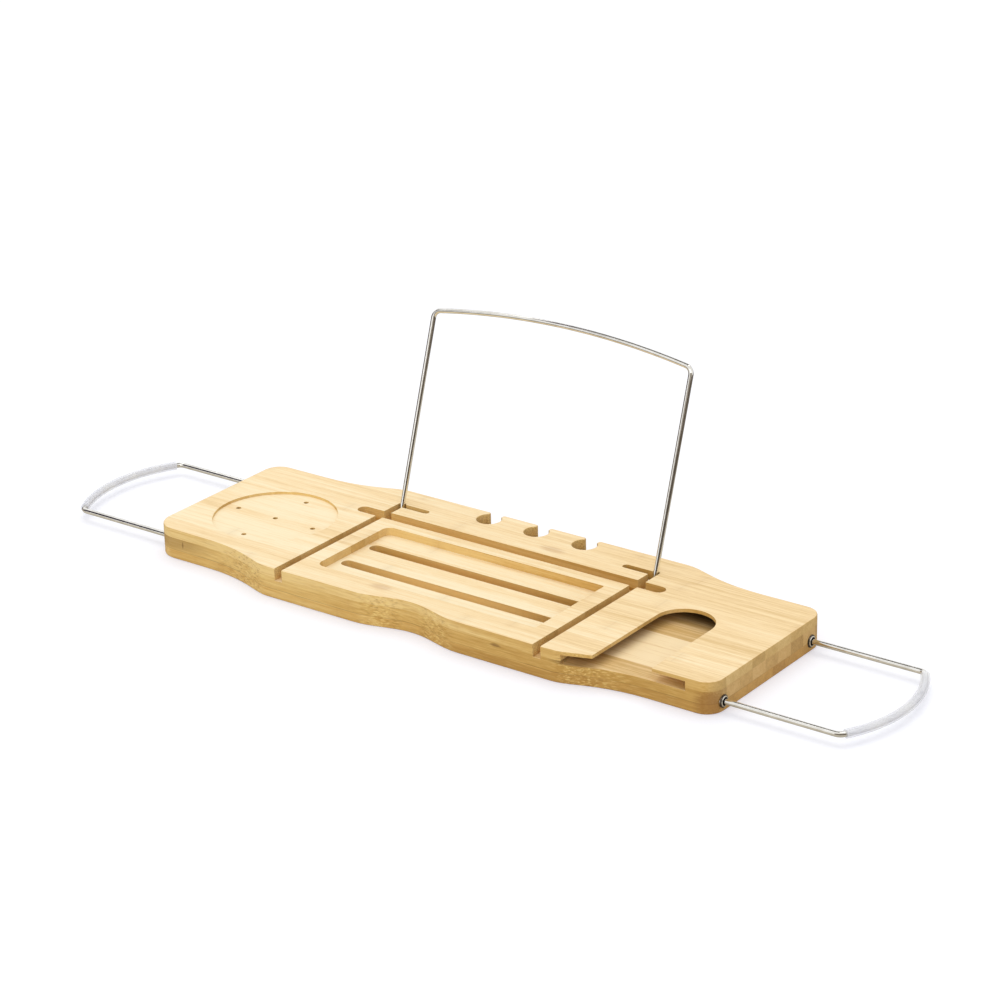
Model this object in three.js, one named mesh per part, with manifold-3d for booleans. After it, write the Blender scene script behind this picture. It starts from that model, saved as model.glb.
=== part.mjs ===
import * as THREE from 'three';
import { mergeVertices } from 'three/addons/utils/BufferGeometryUtils.js';
import Module from 'manifold-3d';

const wasm = await Module();
wasm.setup();

// Driving dimensions in millimetres. X runs left to right with zero between the stand grooves,
// Y runs front to back with zero at the middle of the board, Z runs up from the underside.
// The finished pieces are moved along Y so that the part's origin lies between the drain slots.

// Board outline
const boardLength = 640;
const endDepth = 184;
const bulgeReach = 18;
const cornerRadius = 17;
const frontLeftCornerRadius = 24;
const shoulderEndInset = 65;
const shoulderEndReach = 55;
const shoulderBulgeX = 163;
const shoulderBulgeReach = 19;
const scallopHalfWidth = 60;
const scallopDepth = 11;
const scallopHandleShare = 0.3642;
const edgeRound = 1.2;

// Board layers
const bottomPlyThickness = 9.8;
const corePlyThickness = 12;
const topPlyThickness = 9.2;

// Floor level shared by the stand grooves, the long groove and the glass pocket
const grooveDepth = 12.4;

// Stand grooves and foot slots
const standHalfWidth = 148;
const standGrooveWidth = 8.4;
const footSlotWidth = 7.4;
const footSlotLength = 34.5;

// Long groove behind the tray
const longGrooveOverhang = 30;
const longGrooveY = 48.3;
const longGrooveWidth = 13.4;

// Tray recess and its drain slots
const traySideRim = 18;
const trayFrontY = -80.5;
const trayBackY = 27;
const trayLeftCornerRadius = 8;
const trayRightCornerRadius = 1.5;
const trayDepth = 8;
const drainSlotYs = [-48, -5.6];
const drainSlotWidth = 12.4;
const drainSlotLeftInset = 4.8;
const drainSlotRightInset = 8.3;
const drainSlotRightCornerRadius = 1;

// Round dish with five drain holes
const dishX = -233.4;
const dishY = -12.3;
const dishRadius = 60.7;
const dishDepth = 2.6;
const dishHoleRadius = 2.5;
const dishHoleReach = 46.7;

// Wine glass slot: a thin skin over a wider pocket that takes the foot of the glass
const glassSlotX = 229;
const glassSlotWidth = 57;
const glassSlotEndY = 2;
const glassSkinThickness = 3.6;
const glassPocketLeftX = 172.6;
const glassPocketRightX = 291.5;

// Notches in the back edge
const notchSpacing = 56;
const notchInset = 14.2;
const notchRadius = 12.2;
const notchNeckWidth = 14.6;
const notchLipSpare = 0.8;

// Sliding rails, drawn fully out
const railWireRadius = 2.6;
const railZ = 10;
const railEndInset = 19.7;
const railOffsetY = 3.2;
const railBowApex = 457;
const railBowRadius = 130;
const railBendRadius = 8;
const railHiddenLength = 95;
const railTravel = 104;
const railBoreRadius = 4.4;
const railBoreSpare = 3;

// Clear sleeves on the rail bows
const sleeveRadius = 4.2;
const sleeveClearance = 0.25;
const sleeveBowShare = 0.93;

// Ferrules in the board ends
const ferruleBarrelRadius = 5.3;
const ferruleBarrelLength = 10;
const ferruleHoleClearance = 0.1;
const ferruleFlangeRadius = 6;
const ferruleFlangeThickness = 1.1;
const ferruleFlangeRound = 0.4;
const ferruleRingRadius = 4.9;
const ferruleRingHeight = 1.9;
const ferruleMouthRadius = 4.1;
const ferruleMouthDepth = 2;
const ferruleWireClearance = 0.1;

// Stop collars on the hidden legs
const collarRadius = 4;
const collarLength = 8;
const collarWireClearance = 0.1;
const collarGap = 0.3;

// Folding book stand
const standWireRadius = 2.5;
const standAxisY = 75.5;
const standFloorClearance = 0.1;
const standLean = THREE.MathUtils.degToRad(18.3);
const standSideHeight = 201.6;
const standBowRise = 12.2;
const standTopBendRadius = 8;
const standFootBendRadius = 6;
const standFootLength = 31.5;
const standRestClearance = 0.3;

// Facet counts
const wireSides = 12;
const boreSides = 16;
const ferruleSides = 20;
const collarSides = 12;
const edgeRoundSteps = 2;
const cornerSteps = 8;
const squareSteps = 3;
const shoulderSteps = 10;
const scallopSteps = 8;
const notchSteps = 18;
const lipSteps = 3;
const slotEndSteps = 10;
const footSlotEndSteps = 6;
const dishSides = 56;
const dishHoleSides = 12;
const glassSlotSteps = 22;
const glassPocketSteps = 30;
const bendSteps = 5;
const railBowSteps = 14;
const standBowSteps = 12;

// Cutters run this far past the faces they cut
const overrun = 5;

// Derived positions
const boardThickness = bottomPlyThickness + corePlyThickness + topPlyThickness;
const lowerSeamZ = bottomPlyThickness;
const upperSeamZ = bottomPlyThickness + corePlyThickness;
const grooveFloorZ = boardThickness - grooveDepth;
const endX = boardLength / 2;
const frontEndY = -endDepth / 2;
const backEndY = endDepth / 2;
const frontBulgeY = frontEndY - bulgeReach;
const backBulgeY = backEndY + bulgeReach;
const shoulderEndX = endX - shoulderEndInset;
const notchY = backBulgeY - notchInset;
const notchLipRadius = edgeRound + notchLipSpare;
const railHalfSpacing = endDepth / 2 - railEndInset;
const longGrooveHalfLength = standHalfWidth + longGrooveOverhang;
const footSlotInnerX = standHalfWidth - footSlotLength;
const standFootInnerX = standHalfWidth - standFootLength;
const trayHalfLength = standHalfWidth - standGrooveWidth / 2 - traySideRim;
const drainSlotLeftX = drainSlotLeftInset - trayHalfLength;
const drainSlotRightX = trayHalfLength - drainSlotRightInset;
const standAxisZ = grooveFloorZ + standWireRadius + standFloorClearance;
const standGrooveBackY = standAxisY + (boardThickness - standAxisZ) * Math.tan(standLean)
  + standWireRadius / Math.cos(standLean) + standRestClearance;
const originY = drainSlotYs.reduce((sum, y) => sum + y, 0) / drainSlotYs.length;
const quarter = Math.PI / 2;
const sides = [{ name: 'left', sign: -1 }, { name: 'right', sign: 1 }];
const legs = [{ name: 'front', sign: -1 }, { name: 'back', sign: 1 }];

// Materials
const paleBamboo = new THREE.MeshStandardMaterial({ color: 0xf3d9a8, roughness: 0.55, metalness: 0 });
const honeyBamboo = new THREE.MeshStandardMaterial({ color: 0xd9b26a, roughness: 0.6, metalness: 0 });
const darkBamboo = new THREE.MeshStandardMaterial({ color: 0xbf8f48, roughness: 0.6, metalness: 0 });
const chromedWire = new THREE.MeshStandardMaterial({ color: 0xc9cacc, roughness: 0.15, metalness: 1 });
const clearVinyl = new THREE.MeshStandardMaterial({ color: 0xe3e9ef, roughness: 0.3, metalness: 0 });
const plainSteel = new THREE.MeshStandardMaterial({ color: 0x9fa3a6, roughness: 0.4, metalness: 1 });

// Turn a closed geometry into a solid for cutting, and a solid back into a named mesh
function solid(geometry) {
  const bare = geometry.clone();
  bare.deleteAttribute('normal');
  bare.deleteAttribute('uv');
  const merged = mergeVertices(bare);
  return new wasm.Manifold(new wasm.Mesh({
    numProp: 3,
    vertProperties: new Float32Array(merged.attributes.position.array),
    triVerts: new Uint32Array(merged.index.array),
  }));
}

function pieceFromSolid(name, body, material) {
  const faces = body.getMesh();
  const geometry = new THREE.BufferGeometry();
  geometry.setAttribute('position', new THREE.BufferAttribute(faces.vertProperties, faces.numProp));
  geometry.setIndex(new THREE.BufferAttribute(faces.triVerts, 1));
  return pieceFromGeometry(name, geometry, material);
}

function pieceFromGeometry(name, geometry, material) {
  geometry.translate(0, -originY, 0);
  geometry.computeVertexNormals();
  const mesh = new THREE.Mesh(geometry, material);
  mesh.name = name;
  return mesh;
}

// Plan outlines
function arc(x, y, radius, from, to, steps) {
  return new THREE.EllipseCurve(x, y, radius, radius, from, to, to < from).getPoints(steps);
}

function bezier(from, handleFrom, handleTo, to, steps) {
  return new THREE.CubicBezierCurve(from, handleFrom, handleTo, to).getPoints(steps);
}

function at(x, y) {
  return new THREE.Vector2(x, y);
}

function closedShape(points) {
  const weld = railWireRadius / 1e4;
  const kept = points.filter((point, index) => {
    const previous = points[(index + points.length - 1) % points.length];
    return point.distanceTo(previous) > weld;
  });
  return new THREE.Shape(kept);
}

function slotShape(x, y, halfLength, width, steps) {
  const radius = width / 2;
  const reach = halfLength - radius;
  return closedShape([
    ...arc(x + reach, y, radius, -quarter, quarter, steps),
    ...arc(x - reach, y, radius, quarter, 3 * quarter, steps),
  ]);
}

// Half of the front or back edge from the straight end section to the bulge, left of centre
function shoulderPoints(sideSign, endY, bulgeY) {
  return bezier(
    at(sideSign * shoulderEndX, endY),
    at(sideSign * (shoulderEndX - shoulderEndReach), endY),
    at(sideSign * (shoulderBulgeX + shoulderBulgeReach), bulgeY),
    at(sideSign * shoulderBulgeX, bulgeY),
    shoulderSteps,
  );
}

function notchPoints(x) {
  const neckHalf = notchNeckWidth / 2;
  const lipX = neckHalf + notchLipRadius;
  const lipY = backBulgeY - notchLipRadius;
  const mouth = Math.acos(neckHalf / notchRadius);
  return [
    ...arc(x + lipX, lipY, notchLipRadius, quarter, 2 * quarter, lipSteps),
    ...arc(x, notchY, notchRadius, mouth, mouth - 2 * quarter - 2 * mouth, notchSteps),
    ...arc(x - lipX, lipY, notchLipRadius, 0, quarter, lipSteps),
  ];
}

function boardShape() {
  const cornerX = endX - cornerRadius;
  const frontLeftX = frontLeftCornerRadius - endX;
  const handle = scallopHandleShare * scallopHalfWidth;
  const scallopY = frontBulgeY + scallopDepth;
  return closedShape([
    ...arc(frontLeftX, frontEndY + frontLeftCornerRadius, frontLeftCornerRadius,
      2 * quarter, 3 * quarter, cornerSteps),
    ...shoulderPoints(-1, frontEndY, frontBulgeY),
    ...bezier(at(-scallopHalfWidth, frontBulgeY), at(handle - scallopHalfWidth, frontBulgeY),
      at(-handle, scallopY), at(0, scallopY), scallopSteps),
    ...bezier(at(0, scallopY), at(handle, scallopY),
      at(scallopHalfWidth - handle, frontBulgeY), at(scallopHalfWidth, frontBulgeY), scallopSteps),
    ...shoulderPoints(1, frontEndY, frontBulgeY).reverse(),
    ...arc(cornerX, frontEndY + cornerRadius, cornerRadius, -quarter, 0, cornerSteps),
    ...arc(cornerX, backEndY - cornerRadius, cornerRadius, 0, quarter, cornerSteps),
    ...shoulderPoints(1, backEndY, backBulgeY),
    ...notchPoints(notchSpacing),
    ...notchPoints(0),
    ...notchPoints(-notchSpacing),
    ...shoulderPoints(-1, backEndY, backBulgeY).reverse(),
    ...arc(-cornerX, backEndY - cornerRadius, cornerRadius, quarter, 2 * quarter, cornerSteps),
  ]);
}

// Straight cutters and blocks between two heights
function upright(shape, lowZ, highZ) {
  const geometry = new THREE.ExtrudeGeometry(shape, { depth: highZ - lowZ, bevelEnabled: false });
  return solid(geometry.translate(0, 0, lowZ));
}

function block(lowX, highX, lowY, highY, lowZ, highZ) {
  const geometry = new THREE.BoxGeometry(highX - lowX, highY - lowY, highZ - lowZ);
  return solid(geometry.translate((lowX + highX) / 2, (lowY + highY) / 2, (lowZ + highZ) / 2));
}

function layer(lowZ, highZ) {
  const reachX = endX + overrun;
  const reachY = backBulgeY + overrun;
  return block(-reachX, reachX, -reachY, reachY, lowZ, highZ);
}

function roundBar(x, y, radius, lowZ, highZ, barSides) {
  return upright(closedShape(arc(x, y, radius, 0, 4 * quarter, barSides)), lowZ, highZ);
}

// A bar along X that starts outside the end of the board and stops at a given X
function endBore(sideSign, y, radius, innerX) {
  const length = endX + overrun - innerX;
  const geometry = new THREE.CylinderGeometry(radius, radius, length, boreSides);
  geometry.rotateZ(quarter);
  geometry.translate(sideSign * (innerX + length / 2), y, railZ);
  return solid(geometry);
}

function railLegY(side, leg) {
  return leg.sign * railHalfSpacing - side.sign * railOffsetY;
}

// Board blank with its rim eased at the top and bottom edges
function boardBlank() {
  const geometry = new THREE.ExtrudeGeometry(boardShape(), {
    depth: boardThickness - 2 * edgeRound,
    bevelEnabled: true,
    bevelThickness: edgeRound,
    bevelSize: edgeRound,
    bevelOffset: -edgeRound,
    bevelSegments: edgeRoundSteps,
  });
  return solid(geometry.translate(0, 0, edgeRound));
}

// Everything routed from the top down to the shared groove floor
function grooveCutters() {
  const topZ = boardThickness + overrun;
  const cutters = [upright(
    slotShape(0, longGrooveY, longGrooveHalfLength, longGrooveWidth, slotEndSteps), grooveFloorZ, topZ)];
  for (const side of sides) {
    const x = side.sign * standHalfWidth;
    const frontY = frontBulgeY - overrun;
    const halfLength = (standGrooveBackY - frontY) / 2 + standGrooveWidth;
    const turned = slotShape(0, 0, halfLength, standGrooveWidth, slotEndSteps).getPoints()
      .map((point) => at(x - point.y, standGrooveBackY - halfLength + point.x));
    cutters.push(upright(closedShape(turned), grooveFloorZ, topZ));
    const slotHalf = (standHalfWidth - footSlotInnerX) / 2;
    cutters.push(upright(slotShape(side.sign * (footSlotInnerX + slotHalf), standAxisY, slotHalf,
      footSlotWidth, footSlotEndSteps), grooveFloorZ, topZ));
  }
  return cutters;
}

// The right end of a recess or slot, front corner then back corner
function rightEnd(x, frontY, backY, radius, steps) {
  return [
    ...arc(x - radius, frontY + radius, radius, -quarter, 0, steps),
    ...arc(x - radius, backY - radius, radius, 0, quarter, steps),
  ];
}

function leftEnd(x, frontY, backY, radius, steps) {
  return [
    ...arc(x + radius, backY - radius, radius, quarter, 2 * quarter, steps),
    ...arc(x + radius, frontY + radius, radius, 2 * quarter, 3 * quarter, steps),
  ];
}

// The tray and its drain slots are rounded at the left and square at the right
function trayCutters() {
  const topZ = boardThickness + overrun;
  const recess = closedShape([
    ...rightEnd(trayHalfLength, trayFrontY, trayBackY, trayRightCornerRadius, squareSteps),
    ...leftEnd(-trayHalfLength, trayFrontY, trayBackY, trayLeftCornerRadius, cornerSteps),
  ]);
  const drains = drainSlotYs.map((y) => {
    const frontY = y - drainSlotWidth / 2;
    const backY = y + drainSlotWidth / 2;
    return upright(closedShape([
      ...rightEnd(drainSlotRightX, frontY, backY, drainSlotRightCornerRadius, squareSteps),
      ...leftEnd(drainSlotLeftX, frontY, backY, drainSlotWidth / 2, slotEndSteps / 2),
    ]), -overrun, topZ);
  });
  return [upright(recess, boardThickness - trayDepth, topZ), ...drains];
}

function dishCutters() {
  const topZ = boardThickness + overrun;
  const reaches = [[0, 0], [-1, 0], [1, 0], [0, -1], [0, 1]];
  const holes = reaches.map(([shareX, shareY]) => roundBar(dishX + shareX * dishHoleReach,
    dishY + shareY * dishHoleReach, dishHoleRadius, -overrun, topZ, dishHoleSides));
  return [roundBar(dishX, dishY, dishRadius, boardThickness - dishDepth, topZ, dishSides), ...holes];
}

// The glass slot is open at the front: the neck cuts the skin and the pocket runs under it
function tongueShape(x, endY, halfWidth, steps) {
  const frontY = frontBulgeY - overrun;
  return closedShape([
    at(x - halfWidth, frontY),
    at(x + halfWidth, frontY),
    ...arc(x, endY, halfWidth, 0, 2 * quarter, steps),
  ]);
}

function glassCutters() {
  const neck = tongueShape(glassSlotX, glassSlotEndY, glassSlotWidth / 2, glassSlotSteps);
  const pocketX = (glassPocketLeftX + glassPocketRightX) / 2;
  const pocketHalf = (glassPocketRightX - glassPocketLeftX) / 2;
  const pocket = tongueShape(pocketX, glassSlotEndY, pocketHalf, glassPocketSteps);
  return [
    upright(neck, grooveFloorZ, boardThickness + overrun),
    upright(pocket, grooveFloorZ, boardThickness - glassSkinThickness),
  ];
}

function railCutters() {
  const boreInnerX = endX - railHiddenLength - railTravel - railBoreSpare;
  return sides.flatMap((side) => legs.flatMap((leg) => [
    endBore(side.sign, railLegY(side, leg), railBoreRadius, boreInnerX),
    endBore(side.sign, railLegY(side, leg), ferruleBarrelRadius + ferruleHoleClearance,
      endX - ferruleBarrelLength),
  ]));
}

// Cut board, then split into its glued layers. The grooves go right through the top layer,
// so the tray panel between them is a piece of its own.
function boardPieces() {
  const cutters = [
    ...grooveCutters(), ...trayCutters(), ...dishCutters(), ...glassCutters(), ...railCutters()];
  const board = cutters.reduce((rest, cutter) => rest.subtract(cutter), boardBlank());
  const top = board.intersect(layer(upperSeamZ, boardThickness + overrun));
  const panelRegion = block(-standHalfWidth, standHalfWidth, frontBulgeY - overrun, longGrooveY,
    upperSeamZ - overrun, boardThickness + overrun);
  return [
    pieceFromSolid('bottom_ply', board.intersect(layer(-overrun, lowerSeamZ)), darkBamboo),
    pieceFromSolid('core_ply', board.intersect(layer(lowerSeamZ, upperSeamZ)), honeyBamboo),
    pieceFromSolid('top_ply_frame', top.subtract(panelRegion), paleBamboo),
    pieceFromSolid('top_ply_tray_panel', top.intersect(panelRegion), paleBamboo),
  ];
}

// A wire path sampled at its own points, so long straights take one step each
class WirePath extends THREE.Curve {
  constructor(points) {
    super();
    this.points = points;
  }

  getPoint(share, target = new THREE.Vector3()) {
    const place = share * (this.points.length - 1);
    const index = Math.min(Math.floor(place), this.points.length - 2);
    return target.lerpVectors(this.points[index], this.points[index + 1], place - index);
  }

  getPointAt(share, target) {
    return this.getPoint(share, target);
  }

  getTangent(share, target = new THREE.Vector3()) {
    const index = Math.round(share * (this.points.length - 1));
    const here = this.points[index];
    const before = this.points[Math.max(index - 1, 0)];
    const after = this.points[Math.min(index + 1, this.points.length - 1)];
    const arriving = here.clone().sub(before).normalize();
    const leaving = after.clone().sub(here).normalize();
    return target.copy(arriving).add(leaving).normalize();
  }

  getTangentAt(share, target) {
    return this.getTangent(share, target);
  }
}

function tube(points, radius, innerRadius) {
  const section = new THREE.Shape(arc(0, 0, radius, 0, 4 * quarter, wireSides).slice(0, -1));
  if (innerRadius) {
    section.holes.push(new THREE.Path(arc(0, 0, innerRadius, 0, 4 * quarter, wireSides).slice(0, -1)));
  }
  const geometry = new THREE.ExtrudeGeometry(section, {
    steps: points.length - 1,
    extrudePath: new WirePath(points),
  });
  geometry.deleteAttribute('normal');
  geometry.deleteAttribute('uv');
  return mergeVertices(geometry);
}

// A bow between two parallel legs: along runs down the legs, across runs between them.
// The bow arc meets each leg in a small tangent bend.
function bowGeometry(halfSpacing, apex, bowRadius, bendRadius) {
  const centre = apex - bowRadius;
  const bendAcross = halfSpacing - bendRadius;
  const bendAlong = centre + Math.sqrt((bowRadius - bendRadius) ** 2 - bendAcross ** 2);
  const turn = Math.atan2(bendAcross, bendAlong - centre);
  return { centre, bendAcross, bendAlong, turn };
}

function bowPoints(halfSpacing, apex, bowRadius, bendRadius, bowSteps) {
  const { centre, bendAcross, bendAlong, turn } = bowGeometry(halfSpacing, apex, bowRadius, bendRadius);
  return [
    ...arc(bendAlong, -bendAcross, bendRadius, -quarter, -turn, bendSteps),
    ...arc(centre, 0, bowRadius, -turn, turn, bowSteps).slice(1, -1),
    ...arc(bendAlong, bendAcross, bendRadius, turn, quarter, bendSteps),
  ];
}

function railPiece(side) {
  const innerX = endX - railHiddenLength;
  const plan = [
    at(innerX, -railHalfSpacing),
    ...bowPoints(railHalfSpacing, railBowApex, railBowRadius, railBendRadius, railBowSteps),
    at(innerX, railHalfSpacing),
  ];
  const points = plan.map((point) => railPoint(side, point));
  return pieceFromGeometry(`${side.name}_rail`, tube(points, railWireRadius), chromedWire);
}

function railPoint(side, point) {
  return new THREE.Vector3(side.sign * point.x, point.y - side.sign * railOffsetY, railZ);
}

function sleevePiece(side) {
  const { centre, turn } = bowGeometry(railHalfSpacing, railBowApex, railBowRadius, railBendRadius);
  const reach = turn * sleeveBowShare;
  const points = arc(centre, 0, railBowRadius, -reach, reach, railBowSteps)
    .map((point) => railPoint(side, point));
  const geometry = tube(points, sleeveRadius, railWireRadius + sleeveClearance);
  return pieceFromGeometry(`${side.name}_rail_sleeve`, geometry, clearVinyl);
}

// Turned pieces on the rail legs: the profile is radius against distance out of the board end
function turnedPiece(name, profile, side, leg, turnSides, material) {
  const geometry = new THREE.LatheGeometry(profile.map(([radius, out]) => at(radius, out)), turnSides);
  geometry.deleteAttribute('normal');
  geometry.deleteAttribute('uv');
  const merged = mergeVertices(geometry);
  merged.rotateZ(-side.sign * quarter);
  merged.translate(side.sign * endX, railLegY(side, leg), railZ);
  return pieceFromGeometry(`${name}_${side.name}_${leg.name}`, merged, material);
}

function ferrulePiece(side, leg) {
  const bore = railWireRadius + ferruleWireClearance;
  const profile = [
    [bore, -ferruleBarrelLength],
    [ferruleBarrelRadius, -ferruleBarrelLength],
    [ferruleBarrelRadius, 0],
    [ferruleFlangeRadius, 0],
    [ferruleFlangeRadius, ferruleFlangeThickness - ferruleFlangeRound],
    [ferruleFlangeRadius - ferruleFlangeRound, ferruleFlangeThickness],
    [ferruleRingRadius, ferruleFlangeThickness],
    [ferruleRingRadius, ferruleRingHeight - ferruleFlangeRound],
    [ferruleRingRadius - ferruleFlangeRound, ferruleRingHeight],
    [ferruleMouthRadius, ferruleRingHeight],
    [bore, ferruleRingHeight - ferruleMouthDepth],
    [bore, -ferruleBarrelLength],
  ];
  return turnedPiece('ferrule', profile, side, leg, ferruleSides, chromedWire);
}

function collarPiece(side, leg) {
  const bore = railWireRadius + collarWireClearance;
  const outer = -ferruleBarrelLength - collarGap;
  const inner = outer - collarLength;
  const profile = [
    [bore, inner], [collarRadius, inner], [collarRadius, outer], [bore, outer], [bore, inner]];
  return turnedPiece('stop_collar', profile, side, leg, collarSides, plainSteel);
}

// Book stand: feet point inward along the hinge line, legs rise from them and lean back
function standPiece() {
  const { centre, turn } = bowGeometry(standHalfWidth, standApex(), standBowRadius(), standTopBendRadius);
  const footBendX = standHalfWidth - standFootBendRadius;
  const bow = bowPoints(standHalfWidth, standApex(), standBowRadius(), standTopBendRadius, standBowSteps);
  const leftFoot = arc(-footBendX, standFootBendRadius, standFootBendRadius,
    3 * quarter, 2 * quarter, bendSteps);
  const rightFoot = arc(footBendX, standFootBendRadius, standFootBendRadius,
    0, -quarter, bendSteps);
  const flat = [
    at(-standFootInnerX, 0),
    ...leftFoot,
    ...bow.map((point) => at(point.y, point.x)),
    ...rightFoot,
    at(standFootInnerX, 0),
  ];
  const points = flat.map((point) => new THREE.Vector3(
    point.x,
    standAxisY + point.y * Math.sin(standLean),
    standAxisZ + point.y * Math.cos(standLean),
  ));
  return pieceFromGeometry('book_stand', tube(points, standWireRadius), chromedWire);
}

function standApex() {
  return standSideHeight + standBowRise;
}

function standBowRadius() {
  return (standHalfWidth ** 2 + standBowRise ** 2) / (2 * standBowRise);
}

// Whole part
const part = new THREE.Group();
part.add(...boardPieces());
for (const side of sides) {
  part.add(railPiece(side), sleevePiece(side));
  for (const leg of legs) {
    part.add(ferrulePiece(side, leg), collarPiece(side, leg));
  }
}
part.add(standPiece());

export default part;
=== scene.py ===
import math
import bmesh
import bpy
import numpy as np
from mathutils import Matrix


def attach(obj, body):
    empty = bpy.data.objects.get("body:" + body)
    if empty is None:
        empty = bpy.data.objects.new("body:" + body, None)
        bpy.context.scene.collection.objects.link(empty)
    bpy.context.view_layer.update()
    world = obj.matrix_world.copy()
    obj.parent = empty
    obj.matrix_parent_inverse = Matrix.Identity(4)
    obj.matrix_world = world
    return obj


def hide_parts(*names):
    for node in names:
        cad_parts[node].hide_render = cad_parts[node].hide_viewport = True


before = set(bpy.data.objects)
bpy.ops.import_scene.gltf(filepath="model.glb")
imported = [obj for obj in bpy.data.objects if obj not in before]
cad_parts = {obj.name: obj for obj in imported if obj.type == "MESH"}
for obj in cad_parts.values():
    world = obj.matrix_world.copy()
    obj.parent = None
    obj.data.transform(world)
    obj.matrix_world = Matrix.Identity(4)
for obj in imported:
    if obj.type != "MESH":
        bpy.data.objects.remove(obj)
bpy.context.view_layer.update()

# Board plies. The board is three layers of laminated bamboo, glued flat and milled as one slab:
# a dark bottom ply, a honey core and a pale top ply whose middle part carries the drain tray.
# The milled shapes are the CAD's own. Here their free edges are eased, as a sanding block does it.
mm = 0.001
board_middle_y = 26.8
seam_height = 9.8
glue_planes = (seam_height * mm, 21.8 * mm)
weld_distance = 0.002 * mm
sharp_angle = math.radians(50)
eased_edge = 0.7 * mm
eased_steps = 3
same_level = 0.02 * mm

# Sizes of the bamboo's patterns, in mm. Strips, streaks and knuckles are near their real sizes. A
# real glue line is about 0.2 wide, a bundle of fibres 0.3, and a pore or a fleck under 0.5. That is
# too fine to show, so that they are drawn about three to five times as wide.
strip_width = 21.0
streak_width = 6.0
streak_length = 210.0
fibre_width = 1.5
fibre_length = 60.0
fleck_width = 1.5
fleck_length = 9.0
pore_width = 1.3
pore_length = 22.0
knuckle_spacing = 255.0
knuckle_half_width = 1.5
knuckle_halo = 11.0
seam_half_width = 0.42
seam_patch_length = 60.0
seam_patch_width = 400.0
level_blur = 0.3
band_blur = 0.4
ragged_edge = 12.0
fibre_relief = 0.12 * mm

# A tone runs from 0, the darkest fibre, to 1, the palest. A sway is how far a pattern moves it, and
# a drift is a slow change: (from mm, to mm, tone added at the first, tone added at the second). The
# first and the last two run along the board, and the second from front to back.
tone_places = (0.12, 0.5, 0.85)
strip_sway = 0.3
streak_sway = 0.85
fibre_sway = 0.9
fleck_sway = 0.35
length_drift = (-320.0, 320.0, 0.1, -0.2)
depth_drift = (-80.0, 140.0, 0.08, -0.06)
face_drift = (-170.0, 40.0, 0.0, 0.08)
edge_drift = (-60.0, 140.0, 0.06, -0.16)
end_tone_share = 0.5
end_strip_share = 0.22
end_lift = 0.14
strip_shift = 0.37
knuckle_shift = 7.3
knuckle_wobble = 0.012
most_ragged = 1.2
knuckle_brown = "#A9773A"
pore_brown = "#8F6429"
pale_fleck = "#F2D688"
seam_brown = "#7A5324"


def linear(colour):
    """sRGB hex text to linear red, green, blue and alpha: each channel is divided by 12.92 below
    0.04045, and above it is ((channel + 0.055) / 1.055) raised to 2.4."""
    channels = [int(colour[i:i + 2], 16) / 255 for i in (1, 3, 5)]
    return (*[c / 12.92 if c <= 0.04045 else ((c + 0.055) / 1.055) ** 2.4 for c in channels], 1.0)


def add(tree, kind, inputs=None, stops=None, **settings):
    """Adds one shader node to a tree with its own settings, and gives each input a value or a link:
    a node given as an input stands for its first output. stops are those of a colour ramp, each a
    place from 0 to 1 with its sRGB hex colour."""
    node = tree.nodes.new("ShaderNode" + kind)
    for name, value in settings.items():
        setattr(node, name, value)
    for name, value in (inputs or {}).items():
        value = value.outputs[0] if isinstance(value, bpy.types.Node) else value
        if isinstance(value, bpy.types.NodeSocket):
            tree.links.new(value, node.inputs[name])
        else:
            node.inputs[name].default_value = value
    if stops:
        marks = node.color_ramp.elements
        while len(marks) < len(stops):
            marks.new(0.5)
        for mark, (place, colour) in zip(marks, stops.items()):
            mark.position = place
            mark.color = linear(colour)
    return node


def finish_material(name, build):
    """A new material whose surface is the shader node that build(tree) returns."""
    material = bpy.data.materials.new(name)
    material.use_nodes = True
    tree = material.node_tree
    tree.nodes.clear()
    add(tree, "OutputMaterial", {"Surface": build(tree)})
    return material


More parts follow.
